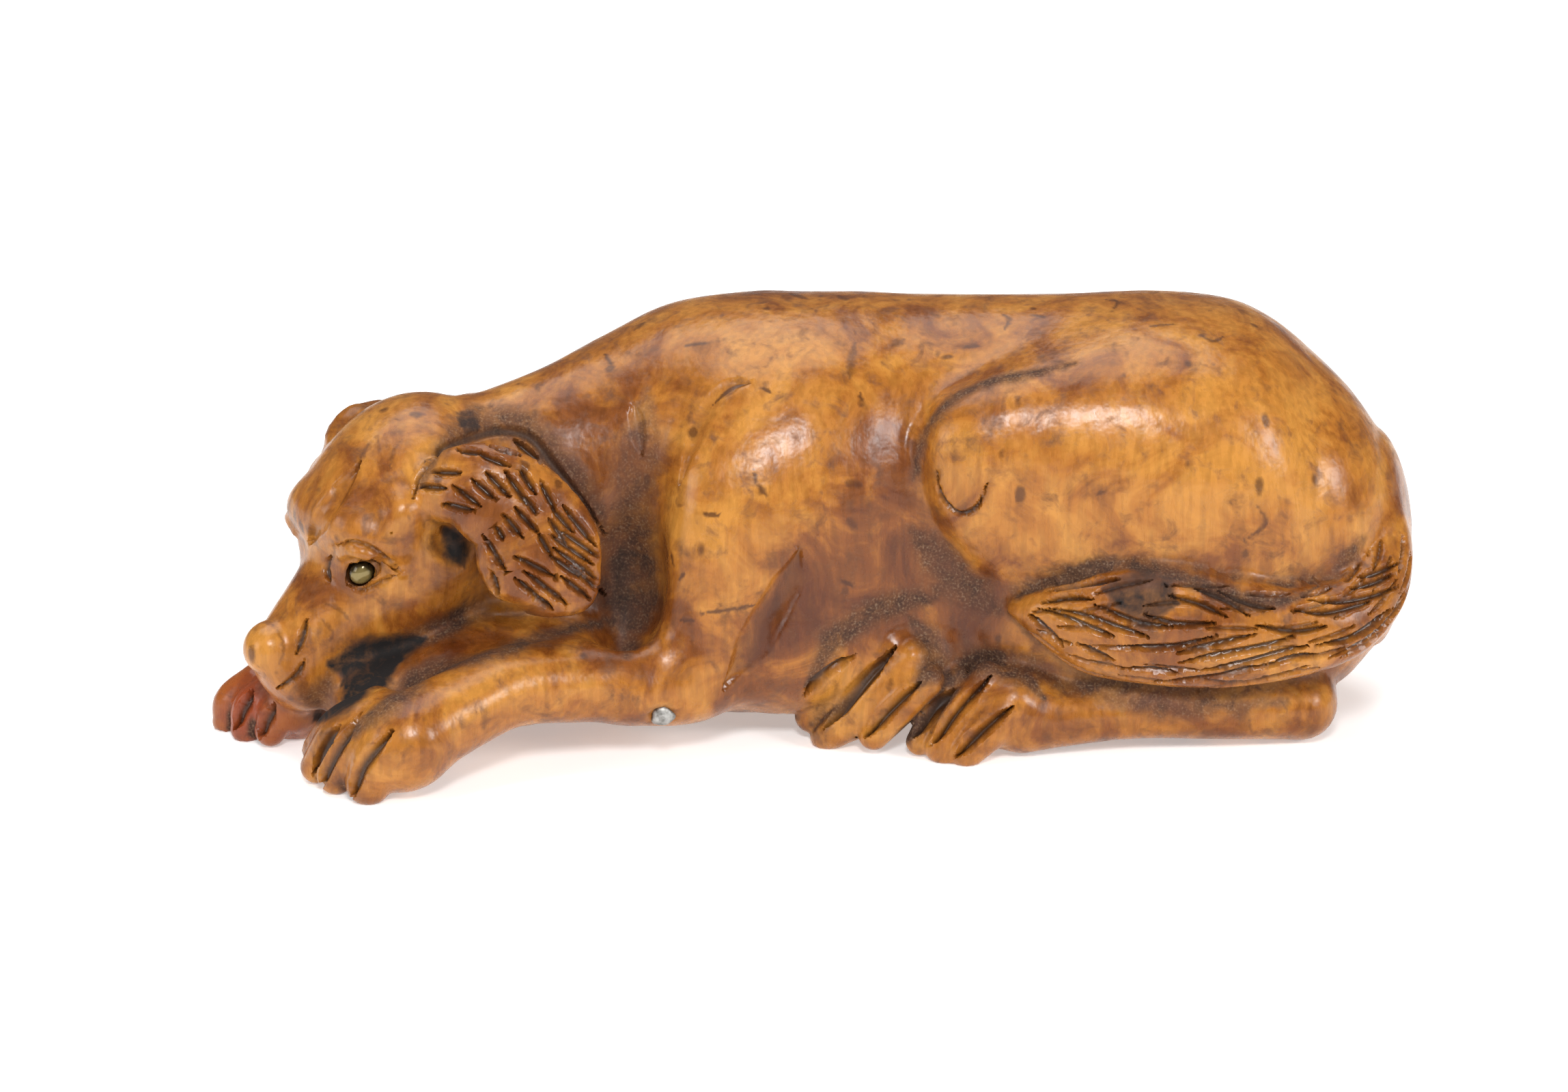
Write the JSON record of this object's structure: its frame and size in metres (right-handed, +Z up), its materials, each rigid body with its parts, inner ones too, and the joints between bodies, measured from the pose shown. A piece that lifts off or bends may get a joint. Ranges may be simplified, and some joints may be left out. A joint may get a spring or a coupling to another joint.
{
  "type": "snuff box",
  "caption": "Snuff box carved from burr wood as a dog asleep with its chin on its foreleg, hollow, with a wooden lid in the underside on a cross pin",
  "frame": {"origin": "Middle of the bounding box at the plane of the soles", "axes": "+X runs from the head to the rump, +Y to the side away from the viewer, +Z up"},
  "size_m": [0.1054, 0.0452, 0.0374],
  "materials": {
    "burr_wood": "polished honey-coloured burr wood with dark flecks and dusty grooves",
    "lid_wood": "plain waxed wood, worn",
    "pin_metal": "dull grey wire with a hammered end",
    "eye_horn": "small polished olive-gold bead, standing in for horn or glass"
  },
  "bodies": {
    "dog": {"dog_body": "burr_wood", "hinge_pin": "pin_metal", "eye_left": "eye_horn", "eye_right": "eye_horn"},
    "lid": {"lid": "lid_wood"}
  },
  "joints": [
    {"name": "lid_hinge", "type": "hinge", "parent": "dog", "child": "lid", "pos_m": [-0.01283, 0.00714, 0.0048], "axis": [0, 1, 0], "range_deg": [0, 90]}
  ]
}
